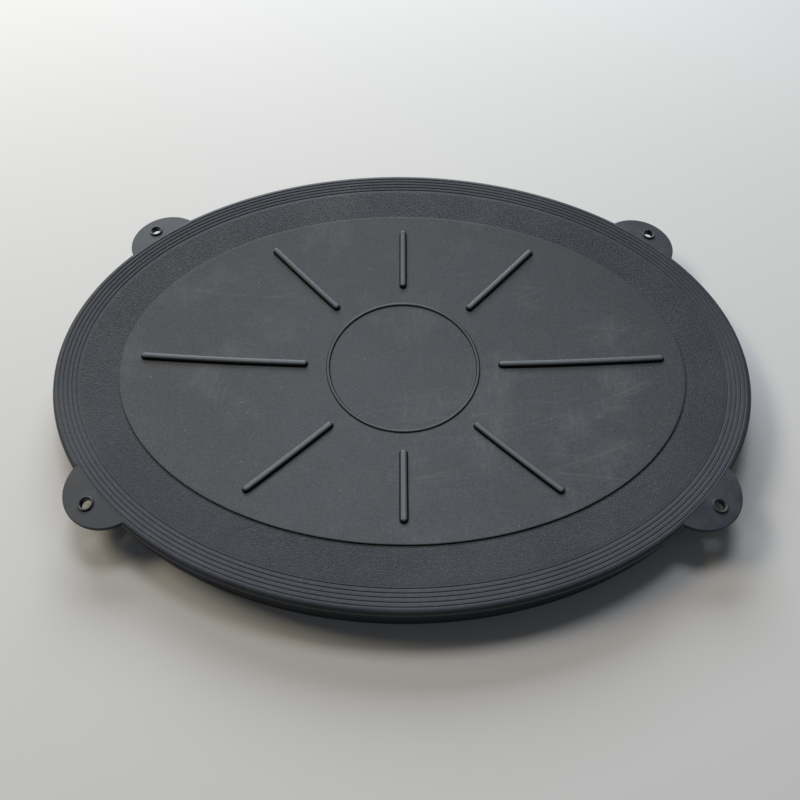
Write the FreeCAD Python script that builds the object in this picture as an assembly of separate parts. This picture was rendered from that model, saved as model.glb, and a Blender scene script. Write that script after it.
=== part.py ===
import FreeCAD, Part
import math
import os

from FreeCAD import Matrix, Vector

# Oval flexible hatch cover, millimetres.
# X runs along the long axis, Z points up, and the origin is on the ground
# under the middle of the cover, level with the foot of its skirt.

# Outline and height of the soft rim
rim_length = 444.0
rim_width = 328.6
rim_height = 23.0
shoulder_radius = 2.6

# Firm centre panel, dished so that its middle hangs just off the ground
panel_edge_drop = 5.4
panel_thickness = 4.0
belly_clearance = 2.2
panel_proud = 1.2
panel_edge_round = 0.5

# Flange of the panel that the soft rim is moulded around
flange_width = 8.0
flange_thickness = 1.6
flange_cover = 1.2
flange_root = 3.0

# Band between the panel and the outer wall
band_width = 39.0
band_thickness = 4.0
groove_count = 5
groove_pitch = 2.5
groove_width = 0.9
groove_depth = 0.55
groove_round = 0.12
outer_groove_inset = 4.4

# Skirt that hangs from the shoulder and grips the coaming
skirt_wall = 4.5
foot_trim = 0.3
foot_round = 1.5
foot_width = 2.9
bead_reach = 3.0
bead_low = 3.6
bead_high = 5.0
bead_undercut = 8.6
bead_round = 0.6
roof_round = 3.5

# Sealing ribs under the band, which press on the coaming
seal_rib_count = 2
seal_rib_inset = 8.8
seal_rib_pitch = 2.6
seal_rib_width = 1.2
seal_rib_height = 0.8
seal_rib_round = 0.24

# Raised ring and radial ribs on the panel
ring_radius = 50.0
ring_width = 2.6
ring_height = 0.9
ring_round = 0.4
rib_count = 8
rib_ring_gap = 13.5
long_rib_margin = 12.3
diagonal_rib_margin = 14.2
short_rib_margin = 13.2
rib_width = 4.8
rib_height = 2.4
rib_round = 1.9

# Pull tabs, placed by their station round the rim's ellipse
tab_station = 37.7
tab_radius = 25.2
tab_centre_inset = 9.8
tab_thickness = 3.0
tab_edge_round = 0.7
tab_root_trim = 0.7
hinge_inset = 1.9
hinge_gap = 0.3
tab_drop_room = 0.8

# Eyelets in the tabs
eyelet_reach = 4.6
eyelet_bore = 6.0
eyelet_wall = 0.8
eyelet_fit = 0.05
collar_width = 8.8
collar_height = 1.1
collar_round = 0.45

# How near an edge's height must come when it is picked for a fillet
pick_tolerance = 0.01

# Values worked out from the sizes above
rim_a = rim_length / 2.0
rim_b = rim_width / 2.0
panel_a = rim_a - band_width
panel_b = rim_b - band_width
panel_edge_z = rim_height - panel_edge_drop
panel_sag = panel_edge_z - panel_thickness - belly_clearance
band_fall = (panel_edge_drop + panel_proud) / (band_width - shoulder_radius)
hinge_radius = tab_thickness / 2.0
CORNERS = {
    "front_left": (-1.0, -1.0),
    "front_right": (1.0, -1.0),
    "back_left": (-1.0, 1.0),
    "back_right": (1.0, 1.0),
}


def band_z(inset):
    """Height of the band's top at a distance in from the outer wall."""
    shoulder_lift = shoulder_radius * (math.hypot(1.0, band_fall) - 1.0)
    return rim_height + shoulder_lift - band_fall * (inset - shoulder_radius)


# The tabs lie level with the band at the outermost groove
tab_top_z = band_z(outer_groove_inset)
tab_floor_z = tab_top_z - tab_thickness
hinge_z = tab_top_z - hinge_radius


def unit_towards(start, end):
    """Unit vector from one (x, z) point to another."""
    span = math.hypot(end[0] - start[0], end[1] - start[1])
    return ((end[0] - start[0]) / span, (end[1] - start[1]) / span)


def rounded_corner(before, corner, after):
    """Start, middle and end of the arc that rounds one corner."""
    x, z, radius = corner
    back = unit_towards((x, z), before[:2])
    ahead = unit_towards((x, z), after[:2])
    turn = math.acos(back[0] * ahead[0] + back[1] * ahead[1])
    reach = radius / math.tan(turn / 2.0)
    start = (x + back[0] * reach, z + back[1] * reach)
    end = (x + ahead[0] * reach, z + ahead[1] * reach)
    bisector = unit_towards((0.0, 0.0), (back[0] + ahead[0], back[1] + ahead[1]))
    depth = radius / math.sin(turn / 2.0) - radius
    middle = (x + bisector[0] * depth, z + bisector[1] * depth)
    return start, middle, end


def in_section(point):
    """A (x, z) point as a vector in the XZ plane."""
    return Vector(point[0], 0.0, point[1])


def section_wire(corners):
    """Closed wire in the XZ plane through (x, z, radius) corners."""
    arcs = []
    for i, corner in enumerate(corners):
        before = corners[i - 1]
        after = corners[(i + 1) % len(corners)]
        if corner[2] > 0.0:
            arcs.append(rounded_corner(before, corner, after))
        else:
            arcs.append((corner[:2], None, corner[:2]))
    edges = []
    for i, (start, middle, end) in enumerate(arcs):
        if middle is not None:
            arc = Part.Arc(in_section(start), in_section(middle), in_section(end))
            edges.append(arc.toShape())
        following = arcs[(i + 1) % len(arcs)][0]
        edges.append(Part.LineSegment(in_section(end), in_section(following)).toShape())
    return Part.Wire(edges)


def ellipse_wire(half_x, half_y, z):
    """Ellipse in a level plane, longer along X."""
    ellipse = Part.Ellipse(Vector(0, 0, z), half_x, half_y)
    return Part.Wire([ellipse.toShape()])


def swept_round_rim(corners):
    """Solid swept round the rim's outline from (inset, z, radius) corners."""
    placed = [(rim_a - inset, z, radius) for inset, z, radius in corners]
    sweep = Part.BRepOffsetAPI.MakePipeShell(ellipse_wire(rim_a, rim_b, 0.0))
    sweep.setFrenetMode(True)
    sweep.add(section_wire(placed))
    sweep.build()
    sweep.makeSolid()
    return sweep.shape()


def oval_prism(half_x, half_y, low, high):
    """Upright prism on an ellipse."""
    face = Part.Face(ellipse_wire(half_x, half_y, low))
    return face.extrude(Vector(0, 0, high - low))


def dish(half_x, half_y, edge_z, sag, thickness, seam):
    """Oval dished plate whose top is a shallow paraboloid, with its seam at an angle."""
    top = Part.BezierCurve()
    top.setPoles([
        Vector(0, 0, edge_z - sag),
        Vector(half_x / 2.0, 0, edge_z - sag),
        Vector(half_x, 0, edge_z),
    ])
    bottom = Part.BezierCurve()
    bottom.setPoles([
        Vector(half_x, 0, edge_z - thickness),
        Vector(half_x / 2.0, 0, edge_z - sag - thickness),
        Vector(0, 0, edge_z - sag - thickness),
    ])
    outline = [
        top.toShape(),
        Part.LineSegment(Vector(half_x, 0, edge_z), Vector(half_x, 0, edge_z - thickness)).toShape(),
        bottom.toShape(),
        Part.LineSegment(Vector(0, 0, edge_z - sag - thickness), Vector(0, 0, edge_z - sag)).toShape(),
    ]
    round_dish = Part.Face(Part.Wire(outline)).revolve(Vector(0, 0, 0), Vector(0, 0, 1), 360.0)
    round_dish.rotate(Vector(0, 0, 0), Vector(0, 0, 1), seam)
    squeeze = Matrix()
    squeeze.scale(1.0, half_y / half_x, 1.0)
    return round_dish.transformGeometry(squeeze)


def panel_plate(rise, seam=0.0):
    """The dished plate of the panel, lifted by a rise."""
    return dish(panel_a, panel_b, panel_edge_z + rise, panel_sag, panel_thickness, seam)


def top_edges(shape, low):
    """Edges of a raised feature that lie wholly above a height over the dish."""
    chosen = []
    for edge in shape.Edges:
        clear = True
        for vertex in edge.Vertexes:
            if vertex.Z < dish_z(vertex.X, vertex.Y) + low:
                clear = False
        if clear:
            chosen.append(edge)
    return chosen


def dish_z(x, y):
    """Height of the panel's top surface."""
    return panel_edge_z - panel_sag + panel_sag * ((x / panel_a) ** 2 + (y / panel_b) ** 2)


def raised(prism, height, rounding, seam=0.0):
    """Feature of constant height on the dish, with its top edges rounded."""
    feature = prism.common(panel_plate(height, seam))
    return feature.makeFillet(rounding, top_edges(feature, height / 2.0))


def slot_prism(inner_end, outer_end, width, angle):
    """Upright prism on a round-ended slot that points away from the centre."""
    half = width / 2.0
    start = inner_end + half
    end = outer_end - half
    outline = [
        Part.LineSegment(Vector(start, -half, 0), Vector(end, -half, 0)).toShape(),
        Part.Arc(Vector(end, -half, 0), Vector(end + half, 0, 0), Vector(end, half, 0)).toShape(),
        Part.LineSegment(Vector(end, half, 0), Vector(start, half, 0)).toShape(),
        Part.Arc(Vector(start, half, 0), Vector(start - half, 0, 0), Vector(start, -half, 0)).toShape(),
    ]
    prism = Part.Face(Part.Wire(outline)).extrude(Vector(0, 0, rim_height * 2.0))
    prism.rotate(Vector(0, 0, 0), Vector(0, 0, 1), angle)
    return prism


def panel_reach(angle):
    """Distance from the centre to the panel's edge in a direction."""
    along = math.radians(angle)
    return 1.0 / math.hypot(math.cos(along) / panel_a, math.sin(along) / panel_b)


def panel_ribs():
    """The radial ribs: long ones along X, short ones along Y, four between."""
    between_ribs = 180.0 / rib_count
    ribs = []
    for step in range(rib_count):
        angle = 360.0 / rib_count * step
        if step % 2 == 1:
            margin = diagonal_rib_margin
        elif step % 4 == 0:
            margin = long_rib_margin
        else:
            margin = short_rib_margin
        outer_end = panel_reach(angle) - margin
        prism = slot_prism(ring_radius + rib_ring_gap, outer_end, rib_width, angle)
        ribs.append(raised(prism, rib_height, rib_round, between_ribs))
    return ribs


def panel_ring():
    """The raised ring round the bare middle of the panel."""
    outside = Part.makeCylinder(ring_radius + ring_width / 2.0, rim_height * 2.0)
    inside = Part.makeCylinder(ring_radius - ring_width / 2.0, rim_height * 2.0)
    return raised(outside.cut(inside), ring_height, ring_round)


def panel_flange():
    """Thin flange of the panel that lies inside the soft band."""
    outer = band_width - flange_width
    inner = band_width + flange_root
    return swept_round_rim([
        (outer, band_z(outer) - flange_cover, 0.0),
        (inner, band_z(inner) - flange_cover, 0.0),
        (inner, band_z(inner) - flange_cover - flange_thickness, 0.0),
        (outer, band_z(outer) - flange_cover - flange_thickness, 0.0),
    ])


def centre_panel(flange):
    """The firm panel with its flange, ribs and ring."""
    plate = panel_plate(0.0)
    edge = [e for e in plate.Edges if abs(e.BoundBox.ZMin - panel_edge_z) < pick_tolerance]
    plate = plate.makeFillet(panel_edge_round, edge)
    return plate.multiFuse([flange, panel_ring()] + panel_ribs())


def band_corners():
    """Top of the band with its grooves, from the shoulder to under the panel."""
    corners = [(0.0, band_z(0.0), shoulder_radius)]
    half = groove_width / 2.0
    for step in range(groove_count):
        inset = outer_groove_inset + step * groove_pitch
        corners.append((inset - half, band_z(inset - half), groove_round))
        corners.append((inset, band_z(inset) - groove_depth, groove_round))
        corners.append((inset + half, band_z(inset + half), groove_round))
    inner = band_width + flange_root
    corners.append((inner, band_z(inner), 0.0))
    corners.append((inner, band_z(inner) - band_thickness, 0.0))
    return corners


def roof_z(inset):
    """Height of the band's underside."""
    return band_z(inset) - band_thickness


def seal_rib_corners():
    """Sealing ribs on the band's underside, from the inner one out to the skirt."""
    corners = []
    half = seal_rib_width / 2.0
    for step in reversed(range(seal_rib_count)):
        middle = seal_rib_inset + step * seal_rib_pitch
        corners.append((middle + half, roof_z(middle + half), 0.0))
        corners.append((middle, roof_z(middle) - seal_rib_height, seal_rib_round))
        corners.append((middle - half, roof_z(middle - half), 0.0))
    return corners


def skirt_corners():
    """Inside of the skirt, its grip bead and its foot, a little low for trimming."""
    nose = skirt_wall + bead_reach
    return [
        (skirt_wall, roof_z(skirt_wall), roof_round),
        (skirt_wall, bead_undercut, bead_round),
        (nose, bead_high, bead_round),
        (nose, bead_low, bead_round),
        (foot_round + foot_width, -foot_trim, bead_round),
        (0.0, -foot_trim, foot_round),
    ]


def at_corner(shape, signs):
    """Moves a shape from a tab's own frame, X outward from the wall, to its corner."""
    station = math.radians(tab_station)
    along = signs[0] * math.cos(station)
    across = signs[1] * math.sin(station)
    outward = math.degrees(math.atan2(across / rim_b, along / rim_a))
    placed = shape.copy()
    placed.rotate(Vector(0, 0, 0), Vector(0, 0, 1), outward)
    placed.translate(Vector(rim_a * along, rim_b * across, 0.0))
    return placed


def upright_disc(x, radius, low, high):
    """Upright cylinder centred on the tab's own X axis."""
    return Part.makeCylinder(radius, high - low, Vector(x, 0, low))


def pull_tab():
    """Flat rounded tab whose straight root is rounded about the hinge line."""
    disc = upright_disc(-tab_centre_inset, tab_radius, tab_floor_z, tab_top_z)
    rim_edges = [e for e in disc.Edges if e.BoundBox.XLength > tab_radius]
    disc = disc.makeFillet(tab_edge_round, rim_edges)
    half_root = math.sqrt(tab_radius ** 2 - (tab_centre_inset - hinge_inset) ** 2) - tab_root_trim
    nose = Part.Arc(
        in_section((-hinge_inset, tab_top_z)),
        in_section((-hinge_inset - hinge_radius, hinge_z)),
        in_section((-hinge_inset, tab_floor_z)),
    )
    blade = Part.Wire([
        nose.toShape(),
        Part.LineSegment(in_section((-hinge_inset, tab_floor_z)), in_section((tab_radius, tab_floor_z))).toShape(),
        Part.LineSegment(in_section((tab_radius, tab_floor_z)), in_section((tab_radius, tab_top_z))).toShape(),
        Part.LineSegment(in_section((tab_radius, tab_top_z)), in_section((-hinge_inset, tab_top_z))).toShape(),
    ])
    blade = Part.Face(blade).extrude(Vector(0, half_root * 2.0, 0))
    blade.translate(Vector(0, -half_root, 0))
    hole = upright_disc(eyelet_reach, eyelet_bore / 2.0 + eyelet_wall + eyelet_fit, 0.0, rim_height * 2.0)
    return disc.common(blade).cut(hole)


def tab_seat():
    """Room cut in the shoulder for the tab's root."""
    disc = upright_disc(
        -tab_centre_inset, tab_radius + hinge_gap, tab_floor_z - tab_drop_room, rim_height * 2.0,
    )
    outside = Part.makeBox(
        tab_radius * 2.0, tab_radius * 3.0, rim_height * 2.0,
        Vector(-hinge_inset - hinge_radius - hinge_gap, -tab_radius * 1.5, 0.0),
    )
    return disc.common(outside)


def eyelet():
    """Bush through the tab with a raised round collar on top."""
    bore = eyelet_bore / 2.0
    outline = section_wire([
        (bore, tab_floor_z, 0.0),
        (bore + eyelet_wall, tab_floor_z, 0.0),
        (bore + eyelet_wall, tab_top_z, 0.0),
        (collar_width / 2.0, tab_top_z, 0.0),
        (collar_width / 2.0, tab_top_z + collar_height, collar_round),
        (bore, tab_top_z + collar_height, collar_round),
    ])
    bush = Part.Face(outline).revolve(Vector(0, 0, 0), Vector(0, 0, 1), 360.0)
    bush.translate(Vector(eyelet_reach, 0, 0))
    return bush


def rim_moulding(flange):
    """The soft rim with its grooves, skirt, ribs and seats for the tabs."""
    rim = swept_round_rim(band_corners() + seal_rib_corners() + skirt_corners())
    rim = rim.cut(oval_prism(rim_length, rim_width, -foot_trim * 2.0, 0.0))
    rim = rim.cut(oval_prism(panel_a, panel_b, 0.0, rim_height * 2.0))
    rim = rim.cut(flange)
    for signs in CORNERS.values():
        rim = rim.cut(at_corner(tab_seat(), signs))
    return rim


def build():
    """All pieces by node name."""
    flange = panel_flange()
    pieces = {
        "rim_moulding": rim_moulding(flange),
        "centre_panel": centre_panel(flange),
    }
    for corner, signs in CORNERS.items():
        pieces["pull_tab_" + corner] = at_corner(pull_tab(), signs)
        pieces["eyelet_" + corner] = at_corner(eyelet(), signs)
    return pieces


os.makedirs("parts", exist_ok=True)
for node, shape in build().items():
    print(node, len(shape.Solids), shape.isValid(), round(shape.Volume, 1))
    shape.exportStep("parts/" + node + ".step")
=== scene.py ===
"""Oval push-on hatch cover in moulded rubber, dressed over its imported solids.

Lengths are metres. X runs along the oval, Y away from the viewer and Z up, and
the origin lies on the ground under the middle of the cover.
"""

import logging
import math
from dataclasses import dataclass
from enum import Enum

import bmesh
import bpy
import numpy as np
from mathutils import Matrix, Vector

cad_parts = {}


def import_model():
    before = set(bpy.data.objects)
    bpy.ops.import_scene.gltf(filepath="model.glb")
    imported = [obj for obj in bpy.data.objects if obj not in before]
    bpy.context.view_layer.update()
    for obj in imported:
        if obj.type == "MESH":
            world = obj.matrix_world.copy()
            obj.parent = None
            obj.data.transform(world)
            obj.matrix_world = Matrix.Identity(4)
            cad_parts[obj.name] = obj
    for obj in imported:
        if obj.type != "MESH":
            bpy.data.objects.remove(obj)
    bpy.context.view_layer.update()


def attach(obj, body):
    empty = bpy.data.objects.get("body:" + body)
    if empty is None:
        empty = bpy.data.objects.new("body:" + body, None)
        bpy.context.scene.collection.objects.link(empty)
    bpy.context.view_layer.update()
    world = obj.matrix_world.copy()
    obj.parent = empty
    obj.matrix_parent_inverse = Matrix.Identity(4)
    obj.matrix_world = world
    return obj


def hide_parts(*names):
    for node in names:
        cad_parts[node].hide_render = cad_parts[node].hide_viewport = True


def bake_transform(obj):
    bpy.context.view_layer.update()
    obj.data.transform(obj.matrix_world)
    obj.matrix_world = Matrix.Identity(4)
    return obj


MM = 0.001
FULL_TURN = 2.0 * math.pi
FINE_STEPS = 7200
STATION_GROUP = 8
ARC_STEP_DEGREES = 15.0
WELD_DISTANCE = 0.0005 * MM
SCREEN_WHITE = 255.0
RUBBER_IOR = 1.5
RIB_COUNT = 8
RIB_ENDS = (170.7 * MM, 132.0 * MM, 112.1 * MM, 132.0 * MM)
LOG = logging.getLogger("hatch_cover")

Numbers = np.ndarray | float
Span = tuple[float, float]
Place = tuple[float, float, float]
Colour = tuple[float, float, float, float]
Faces = list[tuple[int, ...]]
Socket = bpy.types.NodeSocket
Material = bpy.types.Material
Piece = bpy.types.Object


def unit(vector: np.ndarray) -> np.ndarray:
    """The vector at a length of one."""
    return vector / np.linalg.norm(vector)


def heading(turns: Numbers) -> np.ndarray:
    """Rows of x and y at a distance of one, one for each angle."""
    return np.stack([np.cos(turns), np.sin(turns)], axis=-1)


def closed_turn(count: int) -> np.ndarray:
    """Angles round a full turn, which is itself left out."""
    return np.linspace(0.0, FULL_TURN, count, endpoint=False)


def lifted(level: np.ndarray, heights: Numbers) -> np.ndarray:
    """Places of x, y and z from places of x and y and their heights."""
    heights = np.broadcast_to(heights, level.shape[:-1])
    return np.concatenate([level, heights[..., None]], axis=-1)


@dataclass(frozen=True)
class Oval:
    """A level ellipse about the origin, longer along X."""

    half_x: float
    half_y: float

    def halves(self) -> np.ndarray:
        """Both half lengths in one row."""
        return np.array([self.half_x, self.half_y])

    def points(self, turns: Numbers) -> np.ndarray:
        """Rows of x and y on the ellipse, one for each parametric angle."""
        return heading(turns) * self.halves()

    def outward(self, turns: Numbers) -> np.ndarray:
        """Unit normals that point away from the middle, one for each parametric angle."""
        normals = heading(turns) / self.halves()
        return normals / np.linalg.norm(normals, axis=-1, keepdims=True)

    def stations(self, spacing: float) -> np.ndarray:
        """Angles that lie evenly along the ellipse's edge.

        Args:
            spacing: Wanted distance between neighbours.

        Returns:
            Parametric angles from nought up to one full turn, which is left out.
        """
        fine = np.linspace(0.0, FULL_TURN, FINE_STEPS + 1)
        steps = np.linalg.norm(np.diff(self.points(fine), axis=0), axis=1)
        run = np.concatenate([[0.0], np.cumsum(steps)])
        groups = max(1, int(round(run[-1] / spacing / STATION_GROUP)))
        count = groups * STATION_GROUP
        return np.interp(np.arange(count) / count * run[-1], run, fine)

    def share(self, places: np.ndarray) -> np.ndarray:
        """Squared distance from the middle as a share of the edge's."""
        return ((places[..., :2] / self.halves()) ** 2).sum(axis=-1)


@dataclass(frozen=True)
class CoverPlan:
    """Sizes that several pieces of the cover share."""

    rim: Oval = Oval(222.0 * MM, 164.3 * MM)
    panel: Oval = Oval(183.0 * MM, 125.3 * MM)
    rim_height: float = 23.0 * MM
    shoulder_radius: float = 2.6 * MM
    band_width: float = 39.0 * MM
    band_thickness: float = 4.0 * MM
    panel_edge_height: float = 17.6 * MM
    panel_proud: float = 1.2 * MM
    panel_thickness: float = 4.0 * MM
    panel_sag: float = 11.4 * MM
    tab_level: float = 22.716 * MM

    def band_height(self, inset: float) -> float:
        """Height of the band's top, which falls evenly towards the panel.

        Args:
            inset: Distance in from the outer wall.

        Returns:
            The height above the ground.
        """
        drop = self.rim_height - self.panel_edge_height + self.panel_proud
        fall = drop / (self.band_width - self.shoulder_radius)
        lift = self.shoulder_radius * (math.hypot(1.0, fall) - 1.0)
        return self.rim_height + lift - fall * (inset - self.shoulder_radius)

    def panel_height(self, places: np.ndarray) -> np.ndarray:
        """Height of the dished panel's top over places on the cover."""
        return self.panel_edge_height - self.panel_sag * (1.0 - self.panel.share(places))

    def over_panel(self, level: np.ndarray, rise: Numbers) -> np.ndarray:
        """Places of x, y and z that stand a rise over the panel's top."""
        return lifted(level, self.panel_height(level) + rise)


class TabCorner(Enum):
    """The four corners that carry a pull tab, by the signs of x and y."""

    FRONT_LEFT = (-1.0, -1.0)
    FRONT_RIGHT = (1.0, -1.0)
    BACK_LEFT = (-1.0, 1.0)
    BACK_RIGHT = (1.0, 1.0)


@dataclass(frozen=True)
class TabFrame:
    """Place of a tab: its own x axis runs straight out of the rim's wall."""

    corner: TabCorner
    plan: CoverPlan
    station: float = math.radians(37.7)

    def turn(self) -> float:
        """Parametric angle of the tab round the rim."""
        x, y = self.corner.value
        return math.atan2(y * math.sin(self.station), x * math.cos(self.station))

    def wall(self) -> np.ndarray:
        """Place on the rim's wall from which the tab is measured."""
        return self.plan.rim.points(self.turn())

    def axes(self) -> np.ndarray:
        """Rows of the frame's x and y directions as the cover has them."""
        out = self.plan.rim.outward(self.turn())
        return np.array([out, [-out[1], out[0]]])

    def to_cover(self, local: np.ndarray) -> np.ndarray:
        """Brings rows of x out of the wall and y along it into the cover's frame."""
        return self.wall() + local @ self.axes()

    def to_local(self, places: np.ndarray) -> np.ndarray:
        """Brings rows of x and y on the cover into the tab's frame."""
        return (places - self.wall()) @ self.axes().T


def rounded_section(corners: list[Place], step: float) -> np.ndarray:
    """Closed outline through rounded corners, with long sides divided.

    Args:
        corners: Inset, height and radius of each corner, in order.
        step: Longest side that is left undivided.

    Returns:
        Rows of inset and height.
    """
    outline: list[np.ndarray] = []
    places = np.array(corners)[:, :2]
    for i, here in enumerate(places):
        radius = corners[i][2]
        if radius <= 0.0:
            outline.append(here)
            continue
        back = unit(places[i - 1] - here)
        ahead = unit(places[(i + 1) % len(places)] - here)
        half_turn = math.acos(float(np.clip(back @ ahead, -1.0, 1.0))) / 2.0
        centre = here + unit(back + ahead) * radius / math.sin(half_turn)
        first = here + back * (radius / math.tan(half_turn)) - centre
        sweep = math.pi - 2.0 * half_turn
        pieces = max(2, math.ceil(math.degrees(sweep) / ARC_STEP_DEGREES))
        turned = math.copysign(sweep, back[1] * ahead[0] - back[0] * ahead[1])
        outline.extend(centre + radius * heading(
            math.atan2(first[1], first[0]) + turned * np.arange(pieces + 1) / pieces))
    divided: list[np.ndarray] = []
    for start, end in zip(outline, outline[1:] + outline[:1]):
        parts = max(1, math.ceil(np.linalg.norm(end - start) / step))
        divided.extend(start + (end - start) * k / parts for k in range(parts))
    return np.array(divided)


def grid_faces(grid: np.ndarray, close_rows: bool = True, close_columns: bool = True) -> Faces:
    """Four-sided faces of a grid of points.

    Args:
        grid: Rows of points.
        close_rows: Whether the last row joins the first.
        close_columns: Whether each row's last point joins its first.

    Returns:
        The point numbers of each face.
    """
    rows, columns = grid.shape[:2]
    row = np.arange(rows if close_rows else rows - 1)[:, None]
    column = np.arange(columns if close_columns else columns - 1)
    next_row = (row + 1) % rows * columns
    next_column = (column + 1) % columns
    row = row * columns
    corners = [row + column, next_row + column, next_row + next_column, row + next_column]
    return [tuple(quad) for quad in np.stack(corners, axis=-1).reshape(-1, 4).tolist()]


def capped_faces(grid: np.ndarray) -> Faces:
    """Faces of a tube of closed rows, with a cap on its first and its last row."""
    ends = np.arange(grid.size // 3).reshape(grid.shape[:2])[[0, -1]]
    return grid_faces(grid, close_rows=False) + [tuple(end) for end in ends.tolist()]


def mesh_piece(name: str, points: np.ndarray, faces: Faces, sharp_degrees: float = 50.0) -> Piece:
    """Makes a smooth-shaded object and welds its doubled points.

    Args:
        name: Name of the piece.
        points: Places of x, y and z.
        faces: Point numbers of each face.
        sharp_degrees: Angle between faces from which an edge stays sharp.

    Returns:
        The new object, linked to the scene.
    """
    mesh = bpy.data.meshes.new(name)
    mesh.from_pydata(points.reshape(-1, 3).tolist(), [], faces)
    work = bmesh.new()
    work.from_mesh(mesh)
    bmesh.ops.remove_doubles(work, verts=work.verts, dist=WELD_DISTANCE)
    bmesh.ops.recalc_face_normals(work, faces=work.faces)
    work.to_mesh(mesh)
    work.free()
    mesh.polygons.foreach_set("use_smooth", [True] * len(mesh.polygons))
    mesh.set_sharp_from_angle(angle=math.radians(sharp_degrees))
    piece = bpy.data.objects.new(name, mesh)
    bpy.context.scene.collection.objects.link(piece)
    return piece


def mesh_places(piece: Piece) -> np.ndarray:
    """Reads where a piece's points are.

    Args:
        piece: The piece to read.

    Returns:
        Rows of x, y and z.
    """
    flat = np.zeros(len(piece.data.vertices) * 3, np.float32)
    piece.data.vertices.foreach_get("co", flat)
    return flat.reshape(-1, 3)


def keep(piece: Piece, name: str, values: np.ndarray) -> None:
    """Stores something about each point of a piece, for its material to read.

    Args:
        piece: The piece to store it with.
        name: Name that the material reads.
        values: A number or a row of three for each point.
    """
    kind, field = ("FLOAT", "value") if values.ndim == 1 else ("FLOAT_VECTOR", "vector")
    store = piece.data.attributes.new(name, kind, "POINT")
    store.data.foreach_set(field, values.astype(np.float32).ravel())


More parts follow.
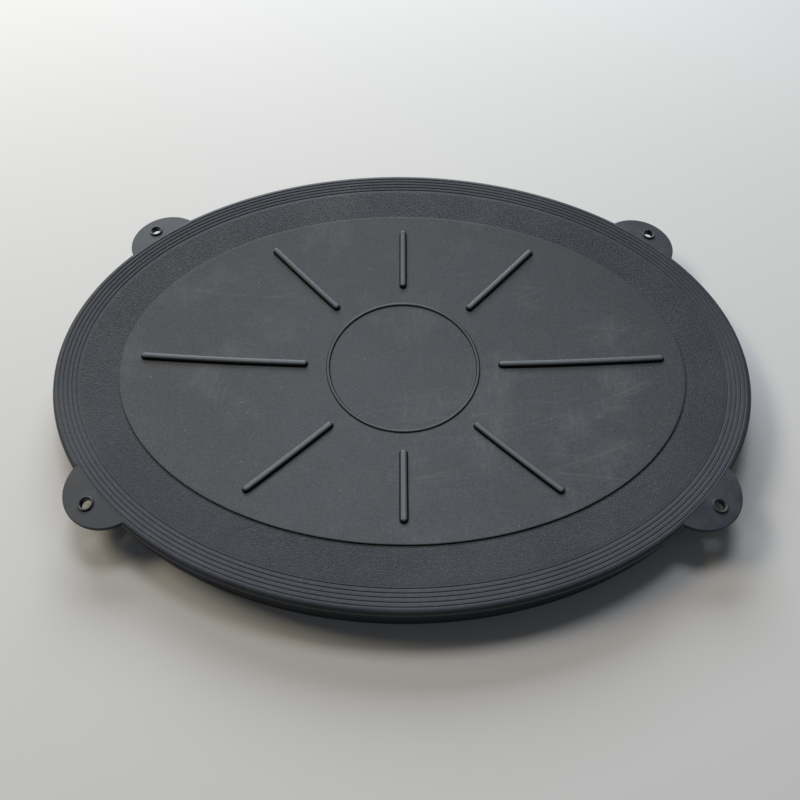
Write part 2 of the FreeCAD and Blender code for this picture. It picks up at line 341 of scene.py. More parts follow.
class FinishNodes:
    """Short hand for laying out the nodes of one finish."""

    def __init__(self, name: str) -> None:
        """Starts an empty material.

        Args:
            name: Name of the material.
        """
        self.material = bpy.data.materials.new(name)
        self.material.use_nodes = True
        self.tree = self.material.node_tree
        self.tree.nodes.clear()

    def add(self, kind: str, inputs: dict, **settings: object) -> bpy.types.Node:
        """Adds a node and feeds it.

        Args:
            kind: Blender's name of the node's type.
            inputs: An output to link or a plain value for each input, by name or number.
            settings: Values for the node's properties.

        Returns:
            The new node.
        """
        node = self.tree.nodes.new(kind)
        for key, value in settings.items():
            setattr(node, key, value)
        for key, value in inputs.items():
            if isinstance(value, Socket):
                self.tree.links.new(value, node.inputs[key])
            else:
                node.inputs[key].default_value = value
        return node

    def kept(self, name: str, output: str = "Vector") -> Socket:
        """What the piece keeps at each point under that name."""
        return self.add("ShaderNodeAttribute", {}, attribute_name=name).outputs[output]

    def vectors(self, operation: str, *values: object) -> bpy.types.Node:
        """A node that works on vectors, fed in their order."""
        return self.add("ShaderNodeVectorMath", dict(enumerate(values)), operation=operation)

    def stretched(self, vector: Socket, factors: Place) -> Socket:
        """The vector multiplied axis by axis."""
        return self.vectors("MULTIPLY", vector, factors).outputs["Vector"]

    def turned(self, vector: Socket, degrees: float) -> Socket:
        """The vector turned about the vertical axis."""
        inputs = {"Vector": vector, "Angle": math.radians(degrees)}
        return self.add("ShaderNodeVectorRotate", inputs, rotation_type="Z_AXIS").outputs["Vector"]

    def warped(self, vector: Socket, scale: float, amount: float) -> Socket:
        """The vector pushed about by noise of that scale, up to that amount."""
        noise = self.add("ShaderNodeTexNoise", {"Vector": vector, "Scale": scale, "Detail": 2.0})
        return self.vectors("MULTIPLY_ADD", noise.outputs["Color"], [amount] * 3, vector).outputs["Vector"]

    def noise(self, vector: Socket, scale: float, detail: float = 4.0, roughness: float = 0.6) -> Socket:
        """Cloudy noise from nought to one, with finer layers and their strength."""
        inputs = {"Vector": vector, "Scale": scale, "Detail": detail, "Roughness": roughness}
        return self.add("ShaderNodeTexNoise", inputs).outputs["Fac"]

    def cells(self, vector: Socket, scale: float, feature: str) -> Socket:
        """Distance pattern of scattered cells, with Blender's name of the distance."""
        inputs = {"Vector": vector, "Scale": scale}
        return self.add("ShaderNodeTexVoronoi", inputs, feature=feature).outputs["Distance"]

    def ranged(self, value: Socket, span: Span, onto: Span = (0.0, 1.0)) -> Socket:
        """The value mapped smoothly from one span onto another and held at its ends."""
        inputs = dict(zip(("Value", "From Min", "From Max", "To Min", "To Max"), (value, *span, *onto)))
        return self.add("ShaderNodeMapRange", inputs, interpolation_type="SMOOTHSTEP").outputs["Result"]

    def maths(self, operation: str, first: object, second: object) -> Socket:
        """One sum on two numbers or outputs."""
        return self.add("ShaderNodeMath", {0: first, 1: second}, operation=operation).outputs["Value"]

    def times(self, first: object, second: object) -> Socket:
        """The product of two numbers or outputs."""
        return self.maths("MULTIPLY", first, second)

    def tinted(self, share: Socket, under: object, over: object) -> Socket:
        """One colour laid over another by a share."""
        inputs = {"Factor": share, 6: under, 7: over}
        return self.add("ShaderNodeMix", inputs, data_type="RGBA").outputs[2]

    def clouded(self, pattern: Socket, span: Span, share: float, under: object, over: object) -> Socket:
        """One colour laid over another where a pattern is strong, up to a share."""
        return self.tinted(self.ranged(pattern, span, (0.0, share)), under, over)

    def specked(self, place: Socket, colour: Socket, dust: Colour, scale: float = 0.09,
                edge: Span = (0.045, 0.018), share: float = 0.4) -> Socket:
        """The colour with scattered specks of dust laid over it."""
        specks = self.times(self.ranged(self.cells(place, scale, "F1"), edge), share)
        return self.tinted(specks, colour, dust)

    def raised(self, height: Socket, depth: float, strength: float) -> Socket:
        """The normal of a fine relief of that depth in metres."""
        inputs = {"Height": height, "Distance": depth, "Strength": strength}
        return self.add("ShaderNodeBump", inputs).outputs["Normal"]

    def finished(self, shader: bpy.types.Node, output: str) -> Material:
        """Ends the material with that output of a shader."""
        self.add("ShaderNodeOutputMaterial", {"Surface": shader.outputs[output]})
        return self.material

    def rubber(self, colour: Socket, rough: Socket, specular: float, normal: Socket) -> Material:
        """Ends the material as rubber of that colour, roughness, reflection and relief."""
        inputs = {
            "Base Color": colour, "Roughness": rough, "IOR": RUBBER_IOR,
            "Specular IOR Level": specular, "Normal": normal,
        }
        return self.finished(self.add("ShaderNodeBsdfPrincipled", inputs), "BSDF")


def grey(*screen: float) -> Colour:
    """Red, green and blue as seen on screen, from 0 to 255, in linear light by the sRGB curve."""
    shares = [value / SCREEN_WHITE for value in screen]
    return (*(c / 12.92 if c <= 0.04045 else ((c + 0.055) / 1.055) ** 2.4 for c in shares), 1.0)


@dataclass(frozen=True)
class GrainedBandRubber:
    """Matte soft rubber with a fine leather grain, almost smooth among its grooves."""

    clean: Colour = grey(56, 61, 70)
    # Painted shade colour for the creases of the grain.
    painted_crease_shade: Colour = grey(41, 45, 53)
    dust: Colour = grey(150, 152, 152)
    grain_depth: float = 0.23 * MM
    grain_starts: Span = (15.2, 17.0)
    grain_on_grooves: float = 0.10
    grain_stretch: Place = (0.7, 1.0, 1.0)
    pebble_scale: float = 0.95
    pebble_edge: float = 0.26
    pebble_share: float = 0.5
    fine_share: float = 0.7
    shoulder: Span = (1.6, 3.4)
    shoulder_polish: float = 0.62
    rough: Span = (0.66, 0.56)
    specular: float = 0.36

    def material(self) -> Material:
        """Builds the grained finish.

        Returns:
            The new material.
        """
        nodes = FinishNodes("soft_rubber_grained")
        place = nodes.kept("rest_mm")
        inset = nodes.kept("inset_mm", "Fac")
        grained = nodes.ranged(inset, self.grain_starts, (self.grain_on_grooves, 1.0))
        rolled = nodes.ranged(inset, self.shoulder, (self.shoulder_polish, 1.0))
        bent = nodes.warped(nodes.stretched(place, self.grain_stretch), scale=0.9, amount=0.6)
        edges = nodes.cells(bent, self.pebble_scale, "DISTANCE_TO_EDGE")
        pebbles = nodes.ranged(edges, (0.0, self.pebble_edge))
        fine = nodes.noise(bent, scale=0.8, detail=3.0)
        pebbled = nodes.times(pebbles, self.pebble_share)
        relief = nodes.maths("ADD", pebbled, nodes.times(fine, self.fine_share))
        relief = nodes.times(relief, grained)
        # Painted shade: the colour darkens in the creases between the grain's pebbles, where shade falls.
        crease_shade_share = nodes.times(nodes.ranged(pebbles, (0.0, 0.7), (1.0, 0.0)), grained)
        colour = nodes.tinted(crease_shade_share, self.clean, self.painted_crease_shade)
        clouds = nodes.noise(place, scale=0.02, detail=3.0, roughness=0.55)
        colour = nodes.clouded(clouds, (0.35, 0.75), 0.06, colour, self.dust)
        rubbed = nodes.noise(place, scale=0.5, roughness=0.7)
        colour = nodes.clouded(rubbed, (0.45, 0.8), 0.10, colour, self.dust)
        colour = nodes.specked(place, colour, self.dust)
        rough = nodes.times(nodes.ranged(fine, (0.2, 0.8), self.rough), rolled)
        return nodes.rubber(colour, rough, self.specular, nodes.raised(relief, self.grain_depth, 1.0))


@dataclass(frozen=True)
class SkirtRubber:
    """The same soft rubber on the skirt and underside, dull from the mould, with a slightly darker colour
    as painted shade.
    """

    # A little darker than the band's rubber: painted shade.
    clean: Colour = grey(54, 58, 65)
    dust: Colour = grey(120, 122, 122)
    rough: Span = (0.78, 0.68)
    specular: float = 0.2
    grain_depth: float = 0.12 * MM

    def material(self) -> Material:
        """Builds the dull finish.

        Returns:
            The new material.
        """
        nodes = FinishNodes("soft_rubber_dull_painted_shade")
        place = nodes.kept("rest_mm")
        clouds = nodes.noise(place, scale=0.05)
        fine = nodes.noise(place, scale=1.2, detail=3.0)
        colour = nodes.clouded(clouds, (0.4, 0.8), 0.10, self.clean, self.dust)
        rough = nodes.ranged(fine, (0.2, 0.8), self.rough)
        return nodes.rubber(colour, rough, self.specular, nodes.raised(fine, self.grain_depth, 0.7))


@dataclass(frozen=True)
class SmoothPanelRubber:
    """Firm rubber off a polished mould, with chalky rub and wipe marks and a little dust."""

    clean: Colour = grey(51, 55, 63)
    dark: Colour = grey(47, 51, 58)
    warm: Colour = grey(66, 63, 57)
    chalk: Colour = grey(150, 154, 155)
    dust: Colour = grey(190, 192, 190)
    worn_share: float = 0.08
    streak_share: float = 0.11
    wipe_share: float = 0.09
    wipe_middles: tuple[Place, ...] = ((-100.0, 560.0, 0.0), (60.0, -430.0, 0.0))
    wipe_spacing: float = 0.42
    wipe_waver: float = 4.0
    rough: Span = (0.44, 0.54)
    rough_grain: float = 0.06
    specular: float = 0.36
    grain_depth: float = 0.07 * MM

    def wipes(self, nodes: FinishNodes, place: Socket, middle: Place) -> Socket:
        """Strength of long faint arcs, as a cloth leaves.

        Args:
            nodes: The finish's nodes.
            place: Where the arcs are read.
            middle: The point that they curve about.

        Returns:
            How strongly the arcs show.
        """
        reach = nodes.vectors("DISTANCE", place, middle).outputs["Value"]
        waver = nodes.noise(place, scale=0.008, detail=2.0, roughness=0.55)
        inputs = {"X": nodes.times(reach, self.wipe_spacing), "Y": nodes.times(waver, self.wipe_waver)}
        spread = nodes.add("ShaderNodeCombineXYZ", inputs).outputs["Vector"]
        lines = nodes.ranged(nodes.noise(spread, scale=1.0, detail=2.0, roughness=0.5), (0.58, 0.74))
        fading = nodes.noise(place, scale=0.012, detail=2.0, roughness=0.55)
        return nodes.times(lines, nodes.ranged(fading, (0.48, 0.64)))

    def material(self) -> Material:
        """Builds the smooth finish.

        Returns:
            The new material.
        """
        nodes = FinishNodes("firm_rubber_smooth")
        place = nodes.kept("rest_mm")
        clouds = nodes.noise(place, scale=0.012, roughness=0.55)
        mottle = nodes.noise(place, scale=0.07, detail=3.0)
        bent = nodes.warped(place, scale=0.03, amount=14.0)
        patches = nodes.noise(bent, scale=0.022)
        grain = nodes.noise(place, scale=0.75, roughness=0.7)
        colour = nodes.clouded(clouds, (0.3, 0.7), 1.0, self.dark, self.clean)
        colour = nodes.clouded(mottle, (0.45, 0.7), 0.18, colour, self.warm)
        worn = nodes.ranged(patches, (0.50, 0.72))
        turned = nodes.turned(nodes.warped(place, scale=0.03, amount=8.0), degrees=4.0)
        upright = nodes.noise(nodes.stretched(turned, (0.45, 0.05, 1.0)), scale=1.0)
        streaks = nodes.times(nodes.ranged(upright, (0.38, 0.73)), worn)
        marks = [(worn, self.worn_share), (streaks, self.streak_share)]
        marks += [(self.wipes(nodes, place, middle), self.wipe_share) for middle in self.wipe_middles]
        for mark, share in marks:
            colour = nodes.tinted(nodes.times(mark, share), colour, self.chalk)
        colour = nodes.clouded(grain, (0.35, 0.75), 0.14, colour, self.chalk)
        colour = nodes.specked(place, colour, self.dust)
        rough = nodes.ranged(patches, (0.3, 0.8), self.rough)
        rough = nodes.maths("ADD", rough, nodes.times(grain, self.rough_grain))
        return nodes.rubber(colour, rough, self.specular, nodes.raised(grain, self.grain_depth, 0.7))


@dataclass(frozen=True)
class RibRubberPaintedLight:
    """The panel's rubber on its ribs and ring, glossy, with a painted highlight on the crown and painted
    shade at the foot.
    """

    name: str = "firm_rubber_rib_painted_light"
    # crown is a painted highlight colour and foot a painted shade colour; lit_from is the span of rise
    # between them.
    crown: Colour = grey(88, 93, 98)
    foot: Colour = grey(9, 10, 12)
    lit_from: Span = (0.58, 0.94)
    rough: Span = (0.40, 0.45)
    specular: float = 0.38
    grain_depth: float = 0.01 * MM

    def material(self) -> Material:
        """Builds the rubbed finish.

        Returns:
            The new material.
        """
        nodes = FinishNodes(self.name)
        place = nodes.kept("rest_mm")
        rise = nodes.kept("rise", "Fac")
        rubbed = nodes.noise(place, scale=0.6, roughness=0.65)
        # Painted light: the colour runs from painted shade at the dark foot up to a painted highlight at
        # the pale crown, by height over the panel.
        colour = nodes.clouded(rise, self.lit_from, 1.0, self.foot, self.crown)
        colour = nodes.clouded(rubbed, (0.4, 0.75), 0.2, colour, self.foot)
        rough = nodes.ranged(rubbed, (0.3, 0.7), self.rough)
        return nodes.rubber(colour, rough, self.specular, nodes.raised(rubbed, self.grain_depth, 0.2))


@dataclass(frozen=True)
class TabRubber:
    """The rim's soft rubber where it is smooth, on the pull tabs."""

    clean: Colour = grey(56, 61, 70)
    dust: Colour = grey(150, 152, 152)
    rough: Span = (0.5, 0.6)
    specular: float = 0.42
    grain_depth: float = 0.05 * MM

    def material(self) -> Material:
        """Builds the tabs' finish.

        Returns:
            The new material.
        """
        nodes = FinishNodes("soft_rubber_smooth")
        place = nodes.kept("rest_mm")
        clouds = nodes.noise(place, scale=0.06)
        grain = nodes.noise(place, scale=1.4, detail=3.0)
        colour = nodes.clouded(clouds, (0.4, 0.8), 0.12, self.clean, self.dust)
        colour = nodes.specked(place, colour, self.dust, scale=0.2, edge=(0.07, 0.03), share=0.5)
        rough = nodes.ranged(clouds, (0.3, 0.7), self.rough)
        return nodes.rubber(colour, rough, self.specular, nodes.raised(grain, self.grain_depth, 0.5))


@dataclass(frozen=True)
class EyeletRubber:
    """Harder satin rubber of the eyelets, rubbed paler in places."""

    clean: Colour = grey(57, 62, 67)
    worn: Colour = grey(84, 88, 92)
    rough: Span = (0.42, 0.52)
    specular: float = 0.5
    grain_depth: float = 0.03 * MM

    def material(self) -> Material:
        """Builds the eyelets' finish.

        Returns:
            The new material.
        """
        nodes = FinishNodes("eyelet_rubber_satin")
        place = nodes.kept("rest_mm")
        rubbed = nodes.noise(place, scale=0.8, detail=3.0)
        grain = nodes.noise(place, scale=3.0, detail=2.0, roughness=0.55)
        colour = nodes.clouded(rubbed, (0.45, 0.75), 0.5, self.clean, self.worn)
        rough = nodes.ranged(rubbed, (0.3, 0.7), self.rough)
        return nodes.rubber(colour, rough, self.specular, nodes.raised(grain, self.grain_depth, 0.5))


def dress(piece: Piece, material: Material) -> None:
    """Gives a piece its finish and stores each point's resting place in millimetres.

    Args:
        piece: The piece to dress.
        material: Its finish.
    """
    keep(piece, "rest_mm", mesh_places(piece) / MM)
    piece.data.materials.append(material)


@dataclass(frozen=True)
class RimMoulding:
    """Soft outer moulding: grooved band, rounded shoulder, skirt and grip bead."""

    plan: CoverPlan
    finish: Material
    dull: Material
    station_spacing: float = 1.1 * MM
    groove_insets: tuple[float, ...] = (4.4 * MM, 6.9 * MM, 9.4 * MM, 11.9 * MM, 14.4 * MM)
    groove_width: float = 0.9 * MM
    groove_depth: float = 0.45 * MM
    groove_round: float = 0.19 * MM
    shoulder_round: float = 3.2 * MM
    seal_rib_insets: tuple[float, ...] = (11.4 * MM, 8.8 * MM)
    seal_rib_width: float = 1.2 * MM
    seal_rib_height: float = 0.8 * MM
    seal_rib_round: float = 0.24 * MM
    skirt_wall: float = 4.5 * MM
    roof_round: float = 3.5 * MM
    bead_nose: float = 7.5 * MM
    bead_low: float = 3.6 * MM
    bead_high: float = 5.0 * MM
    bead_undercut: float = 8.6 * MM
    bead_round: float = 0.6 * MM
    foot_width: float = 4.1 * MM
    foot_round: float = 1.2 * MM
    longest_side: float = 2.0 * MM
    tuck_under_panel: float = 0.3 * MM
    inner_stretch_from: float = 30.0 * MM
    seat_depth: float = 3.75 * MM
    seat_radius: float = 24.3 * MM
    seat_centre: float = -9.8 * MM
    seat_height: float = 22.2 * MM
    dull_shaded_below: float = 0.25
    inset_rounds: int = 6

    def section(self) -> np.ndarray:
        """Outline of the moulding's section.

        Returns:
            Rows of inset and height.
        """
        top = self.plan.band_height
        roof = self.plan.band_thickness
        rows = [(0.0, top(0.0), self.shoulder_round)]
        half = self.groove_width / 2.0
        for inset in self.groove_insets:
            rows += [
                (inset - half, top(inset - half), self.groove_round),
                (inset, top(inset) - self.groove_depth, self.groove_round),
                (inset + half, top(inset + half), self.groove_round),
            ]
        inner = self.plan.band_width
        rows += [(inner, top(inner), 0.0), (inner, top(inner) - roof, 0.0)]
        half = self.seal_rib_width / 2.0
        for inset in self.seal_rib_insets:
            rows += [
                (inset + half, top(inset + half) - roof, 0.0),
                (inset, top(inset) - roof - self.seal_rib_height, self.seal_rib_round),
                (inset - half, top(inset - half) - roof, 0.0),
            ]
        rows += [
            (self.skirt_wall, top(self.skirt_wall) - roof, self.roof_round),
            (self.skirt_wall, self.bead_undercut, self.bead_round),
            (self.bead_nose, self.bead_high, self.bead_round),
            (self.bead_nose, self.bead_low, self.bead_round),
            (self.foot_width, 0.0, self.bead_round),
            (0.0, 0.0, self.foot_round),
        ]
        return rounded_section(rows, self.longest_side)

    def inner_edge(self, turns: np.ndarray) -> np.ndarray:
        """Inset at which the band meets the panel's oval.

        Args:
            turns: Parametric angles of the stations.

        Returns:
            One inset for each station.
        """
        halves = self.plan.panel.halves()
        start = self.plan.rim.points(turns) / halves
        out = self.plan.rim.outward(turns) / halves
        a = (out * out).sum(axis=1)
        b = (start * out).sum(axis=1)
        c = (start * start).sum(axis=1) - 1.0
        return (b - np.sqrt(b * b - a * c)) / a

    def build(self) -> Piece:
        """Sweeps the section round the rim and dresses it, dull and a little darker as painted shade where
        it faces aside or down.

        Returns:
            The rim's object.
        """
        section = self.section()
        turns = self.plan.rim.stations(self.station_spacing)
        inner = self.inner_edge(turns) + self.tuck_under_panel
        insets, heights = (np.tile(column, (len(turns), 1)) for column in section.T)
        past = np.clip(insets - self.inner_stretch_from, 0.0, None)
        stretch = (inner - self.inner_stretch_from) / (self.plan.band_width - self.inner_stretch_from)
        insets = insets - past + past * stretch[:, None]
        start = self.plan.rim.points(turns)[:, None]
        level = start - insets[:, :, None] * self.plan.rim.outward(turns)[:, None]
        upper = (heights > self.seat_height) & (insets < self.seat_depth)
        for corner in TabCorner:
            local = TabFrame(corner, self.plan).to_local(level) - [self.seat_centre, 0.0]
            seat = upper & (np.linalg.norm(local, axis=-1) < self.seat_radius)
            heights = np.where(seat, self.seat_height, heights)
        points = lifted(level, heights)
        rim = mesh_piece("rim_moulding_rubber", points, grid_faces(points), sharp_degrees=60.0)
        dress(rim, self.finish)
        keep(rim, "inset_mm", self.insets(mesh_places(rim)) / MM)
        rim.data.materials.append(self.dull)
        # Faces turned aside or down take the dull material, whose slightly darker colour is painted shade.
        facing = np.zeros(len(rim.data.polygons) * 3, np.float32)
        rim.data.polygons.foreach_get("normal", facing)
        rim.data.polygons.foreach_set("material_index", (facing[2::3] < self.dull_shaded_below).astype(np.int32))
        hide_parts("rim_moulding")
        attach(rim, "root")
        return rim

    def insets(self, places: np.ndarray) -> np.ndarray:
        """Distance of each point in from the rim's outer wall.

        Args:
            places: Rows of x, y and z.

        Returns:
            One distance for each point.
        """
        rim = self.plan.rim
        level = places[:, :2]
        foot = level
        for _ in range(self.inset_rounds):
            x, y = (foot / rim.halves()).T
            angles = np.arctan2(y, x)
            out = rim.outward(angles)
            inset = ((rim.points(angles) - level) * out).sum(axis=1)
            foot = level + inset[:, None] * out
        return inset


@dataclass(frozen=True)
class CentrePanel:
    """Firm dished panel with a softly rounded edge that stands a step above the band."""

    plan: CoverPlan
    finish: Material
    edge_round: float = 0.5 * MM
    edge_steps: int = 7
    station_spacing: float = 1.6 * MM
    ring_spacing: float = 2.0 * MM
    first_share: float = 0.004
    edge_margin: float = 1.6 * MM
    underside_stride: int = 4

    def build(self) -> Piece:
        """Lays out the panel from the middle over its edge to the middle of its underside.

        Returns:
            The panel's object.
        """
        oval = self.plan.panel
        turns = oval.stations(self.station_spacing)
        edge = oval.points(turns)
        out = oval.outward(turns)
        count = int(oval.half_x / self.ring_spacing)
        shares = np.linspace(self.first_share, 1.0 - self.edge_margin / oval.half_y, count)
        loops = [(edge * share, 0.0) for share in shares]
        for angle in np.radians(np.linspace(90.0, 0.0, self.edge_steps)):
            back = self.edge_round * (1.0 - math.cos(angle))
            loops.append((edge - out * back, -self.edge_round * (1.0 - math.sin(angle))))
        for share in np.concatenate([[1.0], shares[::-self.underside_stride]]):
            loops.append((edge * share, -self.plan.panel_thickness))
        points = np.stack([self.plan.over_panel(level, rise) for level, rise in loops])
        panel = mesh_piece("centre_panel_rubber", points, capped_faces(points))
        dress(panel, self.finish)
        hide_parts("centre_panel")
        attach(panel, "root")
        return panel


def keep_rise(piece: Piece, plan: CoverPlan, height: float) -> None:
    """Stores how high each point stands over the panel, as a share of the piece's height."""
    places = mesh_places(piece)
    keep(piece, "rise", (places[:, 2] - plan.panel_height(places)) / height)


@dataclass(frozen=True)
class BeadSide:
    """Half section of a bead on the panel: sunk foot, fillet and rounded crown."""

    height: float
    crown_radius: float
    fillet: float
    sunk: float = 0.3 * MM

    def rows(self, fillet_steps: int, crown_from: float, crown_steps: int) -> np.ndarray:
        """Points from the foot up to the crown's top.

        Args:
            fillet_steps: Number of points on the fillet.
            crown_from: Angle in degrees at which the crown starts.
            crown_steps: Number of points on the crown.

        Returns:
            Rows of distance in from the bead's side and height over the panel.
        """
        low = np.radians(np.linspace(0.0, 90.0, fillet_steps))
        high = np.radians(np.linspace(crown_from, 90.0, crown_steps))
        shoulder = self.height - self.crown_radius
        return np.concatenate([
            [[-self.fillet, -self.sunk]],
            np.stack([np.sin(low) - 1.0, 1.0 - np.cos(low)], axis=1) * self.fillet,
            np.stack([1.0 - np.cos(high), np.sin(high)], axis=1) * self.crown_radius + [0.0, shoulder],
        ])


@dataclass(frozen=True)
class RadialRib:
    """Half-round rib with rounded ends that radiates from the ring."""

    name: str
    angle: float
    outer_end: float
    plan: CoverPlan
    finish: Material
    inner_end: float = 63.5 * MM
    width: float = 4.8 * MM
    side: BeadSide = BeadSide(height=2.4 * MM, crown_radius=1.9 * MM, fillet=0.45 * MM)
    spacing: float = 2.0 * MM
    end_steps: int = 19

    def build(self) -> Piece:
        """Lofts the half section round the rib's long outline.

        Returns:
            The rib's object.
        """
        half = self.width / 2.0
        near = self.inner_end + half
        far = self.outer_end - half
        straight = np.linspace(near, far, max(2, int((far - near) / self.spacing)))
        bend = np.radians(np.linspace(-90.0, 90.0, self.end_steps))
        right, left = (np.full_like(straight, angle) for angle in bend[[0, -1]])
        facing = heading(np.concatenate([right, bend, left, bend + math.pi]))
        far_end, near_end = np.full_like(bend, far), np.full_like(bend, near)
        along = np.concatenate([straight, far_end, straight[::-1], near_end])
        side = self.side.rows(fillet_steps=5, crown_from=0.0, crown_steps=10)
        profile = np.concatenate([side, [[half, self.side.height]]])
        spine = np.outer(along, [1.0, 0.0])
        level = spine[:, None] + facing[:, None] * (half - profile[:, :1])
        axes = heading(self.angle + np.array([0.0, math.pi / 2.0]))
        points = self.plan.over_panel(level @ axes, profile[:, 1])
        rib = mesh_piece(self.name, points, grid_faces(points, close_columns=False), sharp_degrees=70.0)
        dress(rib, self.finish)
        keep_rise(rib, self.plan, self.side.height)
        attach(rib, "root")
        return rib


@dataclass(frozen=True)
class RaisedRing:
    """Thin raised ring round the bare middle of the panel."""

    plan: CoverPlan
    finish: Material
    radius: float = 50.0 * MM
    width: float = 2.2 * MM
    side: BeadSide = BeadSide(height=0.8 * MM, crown_radius=0.75 * MM, fillet=0.3 * MM)
    stations: int = 360

    def build(self) -> Piece:
        """Turns the section round the middle of the panel.

        Returns:
            The ring's object.
        """
        side = self.side.rows(fillet_steps=4, crown_from=15.0, crown_steps=6)
        right = side * [-1.0, 1.0] + [self.width / 2.0, 0.0]
        profile = np.concatenate([right, right[::-1] * [-1.0, 1.0]])
        level = heading(closed_turn(self.stations))[:, None] * (self.radius + profile[:, :1])
        points = self.plan.over_panel(level, profile[:, 1])
        ring = mesh_piece("panel_ring", points, grid_faces(points), sharp_degrees=70.0)
        dress(ring, self.finish)
        keep_rise(ring, self.plan, self.side.height)
        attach(ring, "root")
        return ring


@dataclass(frozen=True)
class PullTab:
    """Flat rounded tab of the rim's rubber that bends up at its root."""

    frame: TabFrame
    plan: CoverPlan
    finish: Material
    radius: float = 25.2 * MM
    centre_inset: float = 9.8 * MM
    thickness: float = 3.0 * MM
    edge_round: float = 0.7 * MM
    root_inset: float = 3.95 * MM
    hinge_inset: float = 1.9 * MM
    bend_inner: float = 2.0 * MM
    bend_outer: float = 2.1 * MM
    eyelet_reach: float = 4.6 * MM
    hole_radius: float = 3.8 * MM
    hole_steps: int = 64
    punch_margin: float = 1.0 * MM
    root_sweep: float = 0.25
    root_points: int = 401
    root_ramp: float = 1.5 * MM
    nose_steps: int = 13
    rows: int = 72
    columns: int = 30

    def root_curve(self) -> tuple[np.ndarray, np.ndarray]:
        """The line along the outermost groove at which the tab's top begins.

        Returns:
            Places along the wall, and how far out each point of the line lies.
        """
        middle = self.frame.turn()
        turns = np.linspace(middle - self.root_sweep, middle + self.root_sweep, self.root_points)
        places = self.plan.rim.points(turns) - self.plan.rim.outward(turns) * self.root_inset
        local = self.frame.to_local(places)
        order = np.argsort(local[:, 1])
        return local[order, 1], local[order, 0]

    def end_angles(self) -> np.ndarray:
        """Finds where the tab's edge meets the root line.

        Returns:
            The two angles about the tab's centre.
        """
        along, out = self.root_curve()
        beyond = np.hypot(out + self.centre_inset, along) - self.radius
        left = np.interp(0.0, -beyond[along < 0.0], along[along < 0.0])
        right = np.interp(0.0, beyond[along > 0.0], along[along > 0.0])
        ends = np.array([left, right])
        return np.arctan2(ends, np.interp(ends, along, out) + self.centre_inset)

    def build(self) -> Piece:
        """Shapes the tab and cuts its hole.

        Returns:
            The tab's object.
        """
        along, out = self.root_curve()
        top = self.plan.tab_level
        floor = top - self.thickness
        lift = self.plan.band_height(self.root_inset) - top
        centre = np.array([-self.centre_inset, 0.0])
        lean = np.linspace(0.0, math.pi, self.nose_steps)[1:-1]
        reach = self.radius - self.edge_round * (1.0 - np.sin(lean))
        over = top - self.edge_round * (1.0 - np.cos(lean))
        under = floor + self.edge_round * (1.0 + np.cos(lean))
        nose = np.where(lean > math.pi / 2.0, under, over)
        loops: list[np.ndarray] = []
        for angle in np.linspace(*self.end_angles(), self.rows):
            inner = centre + heading(angle) * (self.radius - self.edge_round)
            root_x = min(float(np.interp(inner[1], along, out)), inner[0])
            xs = np.linspace(root_x, inner[0], self.columns)
            rise = lift * np.clip(1.0 - (xs - root_x) / self.root_ramp, 0.0, 1.0)
            flat = np.stack([xs, np.full_like(xs, inner[1])], axis=1)
            loops.append(np.concatenate([
                lifted(flat, top + rise),
                lifted(centre + heading(angle) * reach[:, None], nose),
                lifted(flat[::-1], floor),
            ]))
        local = np.stack(loops)
        points = lifted(self.frame.to_cover(local[..., :2]), local[..., 2])
        label = self.frame.corner.name.lower()
        tab = mesh_piece("pull_tab_" + label + "_rubber", points, capped_faces(points))
        self.cut_hole(tab)
        dress(tab, self.finish)
        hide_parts("pull_tab_" + label)
        self.bend_point(-self.bend_inner)
        self.bend_point(self.bend_outer)
        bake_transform(tab)
        return tab

    def bend_point(self, reach: float) -> Place:
        """A place level with the hinge line, by its distance out from it."""
        x, y = self.frame.to_cover(np.array([reach - self.hinge_inset, 0.0]))
        return (float(x), float(y), self.plan.tab_level - self.thickness / 2.0)

    def cut_hole(self, tab: Piece) -> None:
        """Cuts the eyelet's hole through the tab.

        Args:
            tab: The tab without its hole.
        """
        circle = heading(closed_turn(self.hole_steps)) * self.hole_radius
        level = self.frame.to_cover(circle + [self.eyelet_reach, 0.0])
        low = self.plan.tab_level - self.thickness - self.punch_margin
        high = self.plan.tab_level + self.punch_margin
        points = np.stack([lifted(level, height) for height in (low, high)])
        punch = mesh_piece("punch", points, capped_faces(points))
        cut = tab.modifiers.new("hole", "BOOLEAN")
        cut.operation = "DIFFERENCE"
        cut.solver = "EXACT"
        cut.object = punch
        bpy.context.view_layer.update()
        shaped = tab.evaluated_get(bpy.context.evaluated_depsgraph_get())
        mesh = bpy.data.meshes.new_from_object(shaped)
        tab.modifiers.clear()
        tab.data = mesh
        bpy.data.objects.remove(punch)


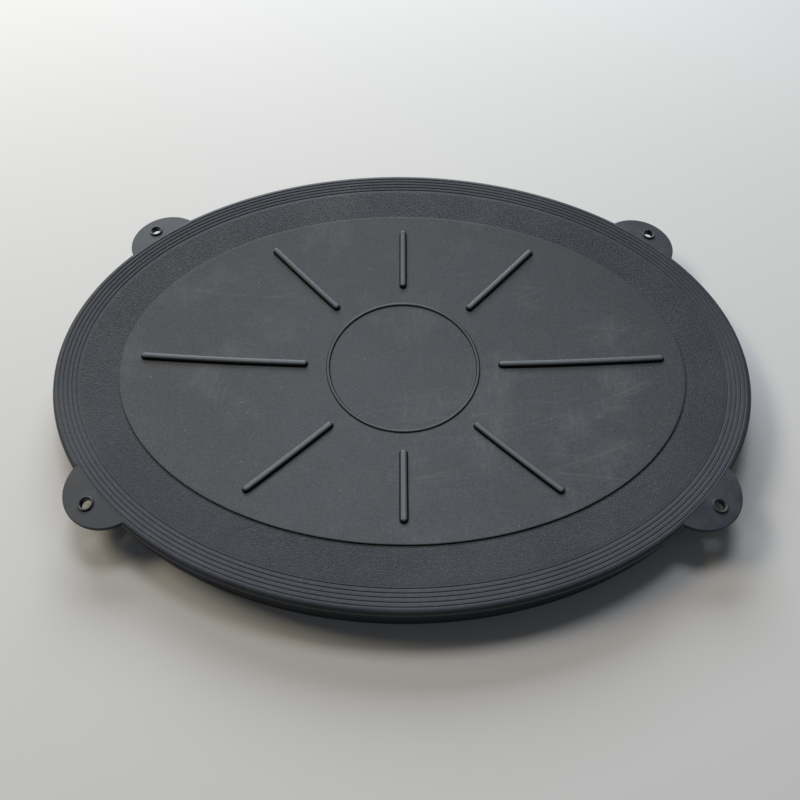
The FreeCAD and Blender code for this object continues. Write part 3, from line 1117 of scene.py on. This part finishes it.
@dataclass(frozen=True)
class TetherEyelet:
    """Round bush in a tab with a raised, rounded collar."""

    frame: TabFrame
    plan: CoverPlan
    finish: Material
    reach: float = 4.6 * MM
    bore: float = 3.0 * MM
    tube_radius: float = 3.8 * MM
    collar_radius: float = 4.4 * MM
    collar_height: float = 1.1 * MM
    collar_round: float = 0.5 * MM
    mouth_round: float = 0.85 * MM
    tube_length: float = 3.0 * MM
    tube_round: float = 0.15 * MM
    collar_sunk: float = 0.05 * MM
    longest_side: float = 0.6 * MM
    stations: int = 96

    def profile(self) -> np.ndarray:
        """Closed section of the bush and its collar.

        Returns:
            Rows of radius and height over the tab.
        """
        return rounded_section([
            (self.bore, -self.tube_length, self.tube_round),
            (self.tube_radius, -self.tube_length, self.tube_round),
            (self.tube_radius, -self.collar_sunk, 0.0),
            (self.collar_radius, -self.collar_sunk, 0.0),
            (self.collar_radius, self.collar_height, self.collar_round),
            (self.bore, self.collar_height, self.mouth_round),
        ], self.longest_side)

    def build(self) -> Piece:
        """Turns the section about the eyelet's axis.

        Returns:
            The eyelet's object.
        """
        profile = self.profile()
        level = heading(closed_turn(self.stations))[:, None] * profile[:, :1] + [self.reach, 0.0]
        points = lifted(self.frame.to_cover(level), profile[:, 1] + self.plan.tab_level)
        label = self.frame.corner.name.lower()
        eyelet = mesh_piece("eyelet_" + label + "_collar", points, grid_faces(points), sharp_degrees=60.0)
        dress(eyelet, self.finish)
        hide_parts("eyelet_" + label)
        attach(eyelet, "tab_" + label)
        return eyelet


@dataclass(frozen=True)
class StudioLamp:
    """One large soft lamp that points at the cover's middle."""

    name: str
    place: Place
    size: tuple[float, float]
    power: float
    colour: tuple[float, float, float]

    def build(self) -> None:
        """Hangs the lamp and turns it to the middle."""
        light = bpy.data.lights.new(self.name, "AREA")
        light.shape = "RECTANGLE"
        light.size, light.size_y = self.size
        light.energy = self.power
        light.color = self.colour
        lamp = bpy.data.objects.new(self.name, light)
        turn = (-Vector(self.place)).to_track_quat("-Z", "Y").to_matrix().to_4x4()
        lamp.matrix_world = Matrix.Translation(self.place) @ turn
        bpy.context.scene.collection.objects.link(lamp)


@dataclass(frozen=True)
class Studio:
    """Plain pale floor, soft lamps and an even sky."""

    floor_radius: float = 3.0
    floor_steps: int = 96
    fading: Span = (0.5, 1.7)
    fade_share: float = 0.75
    floor_seen: Colour = (0.80, 0.80, 0.80, 1.0)
    floor_far: Colour = (0.16, 0.16, 0.16, 1.0)
    floor_bounce: Colour = (0.18, 0.18, 0.18, 1.0)
    sky: Colour = (0.90, 0.95, 1.0, 1.0)
    sky_strength: float = 0.06
    lamps: tuple[StudioLamp, ...] = (
        StudioLamp("wide_window", (-0.28, 1.96, 0.965), (1.8, 0.8), 44.0, (0.87, 0.94, 1.0)),
        StudioLamp("softbox", (0.0, 1.23, 1.82), (0.8, 0.5), 11.0, (0.94, 0.96, 1.0)),
        StudioLamp("side_window", (-1.46, 0.84, 1.41), (0.8, 0.5), 16.0, (1.0, 0.88, 0.68)),
    )

    def floor_material(self) -> Material:
        """Lays out a pale matt floor, greyer under the lamps, that throws little light at the cover.

        Returns:
            The new material.
        """
        nodes = FinishNodes("studio_floor")
        rays = nodes.add("ShaderNodeLightPath", {}).outputs
        seen = nodes.maths("MAXIMUM", rays["Is Camera Ray"], rays["Is Glossy Ray"])
        seen = nodes.maths("MAXIMUM", seen, rays["Is Transmission Ray"])
        place = nodes.add("ShaderNodeNewGeometry", {}).outputs["Position"]
        reach = nodes.vectors("LENGTH", place).outputs["Value"]
        paper = nodes.clouded(reach, self.fading, self.fade_share, self.floor_seen, self.floor_far)
        colour = nodes.tinted(seen, self.floor_bounce, paper)
        return nodes.finished(nodes.add("ShaderNodeBsdfDiffuse", {"Color": colour}), "BSDF")

    def build(self) -> None:
        """Lays the floor, hangs the lamps and sets the sky."""
        edge = lifted(heading(closed_turn(self.floor_steps)) * self.floor_radius, 0.0)
        floor = mesh_piece("studio_floor", edge, [tuple(range(self.floor_steps))])
        floor.data.materials.append(self.floor_material())
        for lamp in self.lamps:
            lamp.build()
        world = bpy.data.worlds.new("studio_sky")
        world.use_nodes = True
        background = world.node_tree.nodes["Background"].inputs
        background["Color"].default_value = self.sky
        background["Strength"].default_value = self.sky_strength
        bpy.context.scene.world = world
        bpy.context.scene.view_settings.view_transform = "Standard"


@dataclass(frozen=True)
class PhotoCamera:
    """Camera at the photograph's place, from a fit to the cover's outline."""

    focal_pixels: float = 629.161
    picture_pixels: float = 800.0
    sensor: float = 36.0
    elevation: float = math.radians(60.394)
    roll: float = math.radians(1.061)
    yaw: float = math.radians(0.923)
    aside: float = -1.7 * MM
    above: float = -30.289 * MM
    away: float = 407.641 * MM
    base_height: float = 20.88 * MM
    clip_start: float = 0.01

    def build(self) -> None:
        """Places the camera and makes it the scene's."""
        sin, cos = math.sin(self.elevation), math.cos(self.elevation)
        right = Vector((1.0, 0.0, 0.0))
        up = Vector((0.0, sin, cos))
        back = Vector((0.0, -cos, sin))
        place = right * self.aside + up * self.above + back * self.away
        turn = Matrix.Rotation(-self.yaw, 3, "Z")
        tilted_right = right * math.cos(self.roll) + up * math.sin(self.roll)
        tilted_up = up * math.cos(self.roll) - right * math.sin(self.roll)
        axes = Matrix((turn @ tilted_right, turn @ tilted_up, turn @ back)).transposed()
        place = turn @ place + Vector((0.0, 0.0, self.base_height))
        lens = bpy.data.cameras.new("photo_camera")
        lens.sensor_width = self.sensor
        lens.lens = self.focal_pixels / self.picture_pixels * self.sensor
        lens.clip_start = self.clip_start
        camera = bpy.data.objects.new("photo_camera", lens)
        camera.matrix_world = Matrix.Translation(place) @ axes.to_4x4()
        bpy.context.scene.collection.objects.link(camera)
        bpy.context.scene.camera = camera


def main() -> None:
    """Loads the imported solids, dresses them and sets up the studio."""
    logging.basicConfig(level=logging.INFO, format="%(name)s %(message)s")
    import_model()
    plan = CoverPlan()
    # The ring gets a weaker painted highlight on its crown than the ribs.
    ring_painted_light_finish = RibRubberPaintedLight("firm_rubber_ring_painted_light", crown=grey(61, 65, 70)).material()
    pieces = [
        RimMoulding(plan, GrainedBandRubber().material(), SkirtRubber().material()).build(),
        CentrePanel(plan, SmoothPanelRubber().material()).build(),
        RaisedRing(plan, ring_painted_light_finish).build(),
    ]
    rib_painted_light_finish = RibRubberPaintedLight().material()
    for step in range(RIB_COUNT):
        degrees = step * 360 // RIB_COUNT
        end = RIB_ENDS[step % len(RIB_ENDS)]
        name = f"panel_rib_{degrees:03d}"
        pieces.append(RadialRib(name, math.radians(degrees), end, plan, rib_painted_light_finish).build())
    tab_finish = TabRubber().material()
    eyelet_finish = EyeletRubber().material()
    for corner in TabCorner:
        frame = TabFrame(corner, plan)
        pieces.append(PullTab(frame, plan, tab_finish).build())
        pieces.append(TetherEyelet(frame, plan, eyelet_finish).build())
    for piece in pieces:
        LOG.info("%s: %d points", piece.name, len(piece.data.vertices))
    Studio().build()
    PhotoCamera().build()


if __name__ == "__main__":
    main()
